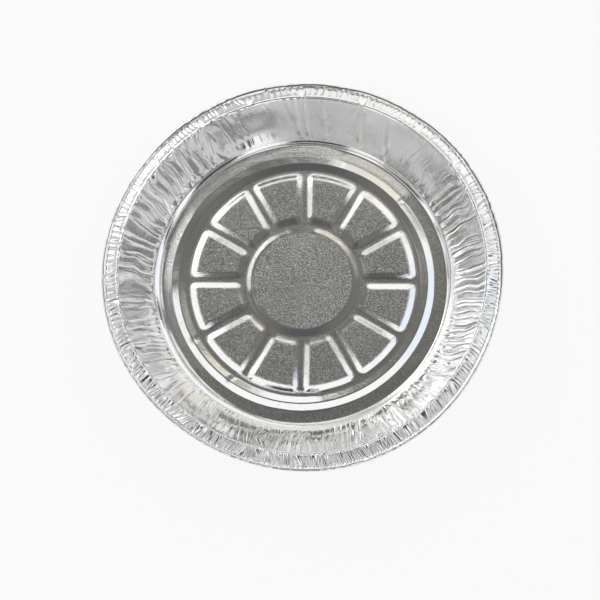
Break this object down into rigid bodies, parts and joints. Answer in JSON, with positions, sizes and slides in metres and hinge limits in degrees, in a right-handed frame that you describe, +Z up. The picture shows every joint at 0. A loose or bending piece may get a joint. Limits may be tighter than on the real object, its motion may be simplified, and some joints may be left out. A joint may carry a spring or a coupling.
{
  "type": "foil pie tin",
  "caption": "Shallow round foil pie tin with a pressed base of wedge pads, pleated sloping wall, creased ledge and curled edge.",
  "frame": {"origin": "centre of the base, on the plane that the tin rests on", "axes": "+Z up along the tin's centre line, out of its mouth; +X towards the spoke between two pads"},
  "size_m": [0.2347, 0.2348, 0.0264],
  "materials": {
    "foil": "satin"
  },
  "bodies": {
    "root": {"foil_tin": "foil"}
  },
  "joints": []
}
